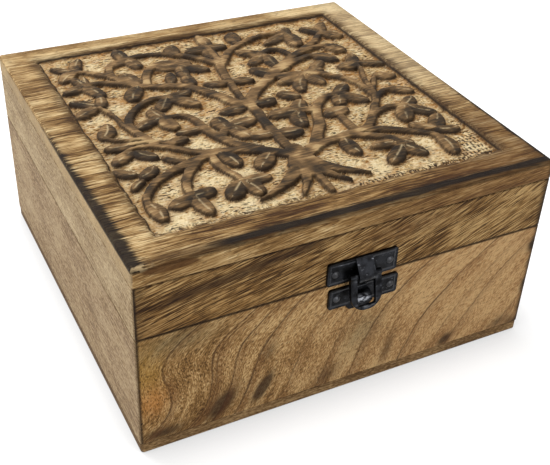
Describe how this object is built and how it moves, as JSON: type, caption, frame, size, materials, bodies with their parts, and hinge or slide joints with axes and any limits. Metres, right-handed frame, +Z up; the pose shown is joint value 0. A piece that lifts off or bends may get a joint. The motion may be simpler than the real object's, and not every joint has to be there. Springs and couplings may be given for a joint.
{
  "type": "carved wooden box",
  "caption": "Square wooden keepsake box with a relief-carved tree on its hinged lid, mitred walls and a black iron hasp in front.",
  "frame": {"origin": "middle of the underside that the box stands on", "axes": "+Z up, the front with the hasp faces -Y, the hinged back faces +Y"},
  "size_m": [0.152, 0.1621, 0.075],
  "materials": {
    "mango_wood": "dry waxed boards with open pores",
    "carved_mango_wood": "carved, burnt dark on the raised work and rubbed back",
    "black_iron": "black lacquered iron sheet, satin",
    "plain_steel": "plain drawn steel wire"
  },
  "bodies": {
    "base": {"base_panel": "mango_wood", "front_wall": "mango_wood", "back_wall": "mango_wood", "left_wall": "mango_wood", "right_wall": "mango_wood", "base_panel_brads": "plain_steel", "hasp_base_plate": "black_iron", "hasp_base_nails": "black_iron", "left_hinge_base_leaf": "black_iron", "right_hinge_base_leaf": "black_iron", "left_hinge_pin": "plain_steel", "right_hinge_pin": "plain_steel", "hinge_base_nails": "black_iron"},
    "lid": {"lid_top_panel": "carved_mango_wood", "lid_front_rail": "mango_wood", "lid_back_rail": "mango_wood", "lid_left_rail": "mango_wood", "lid_right_rail": "mango_wood", "hasp_lid_plate": "black_iron", "hasp_lid_nails": "black_iron", "left_hinge_lid_leaf": "black_iron", "right_hinge_lid_leaf": "black_iron", "hinge_lid_nails": "black_iron"},
    "hasp": {"hasp_loop": "black_iron"}
  },
  "joints": [
    {"name": "lid_hinge", "type": "hinge", "parent": "base", "child": "lid", "pos_m": [0, 0.0782, 0.0485], "axis": [-1, 0, 0], "range_deg": [0, 180]},
    {"name": "hasp_swing", "type": "hinge", "parent": "lid", "child": "hasp", "pos_m": [0.0016, -0.0786, 0.0512], "axis": [-1, 0, 0], "range_deg": [-13, 167]}
  ]
}
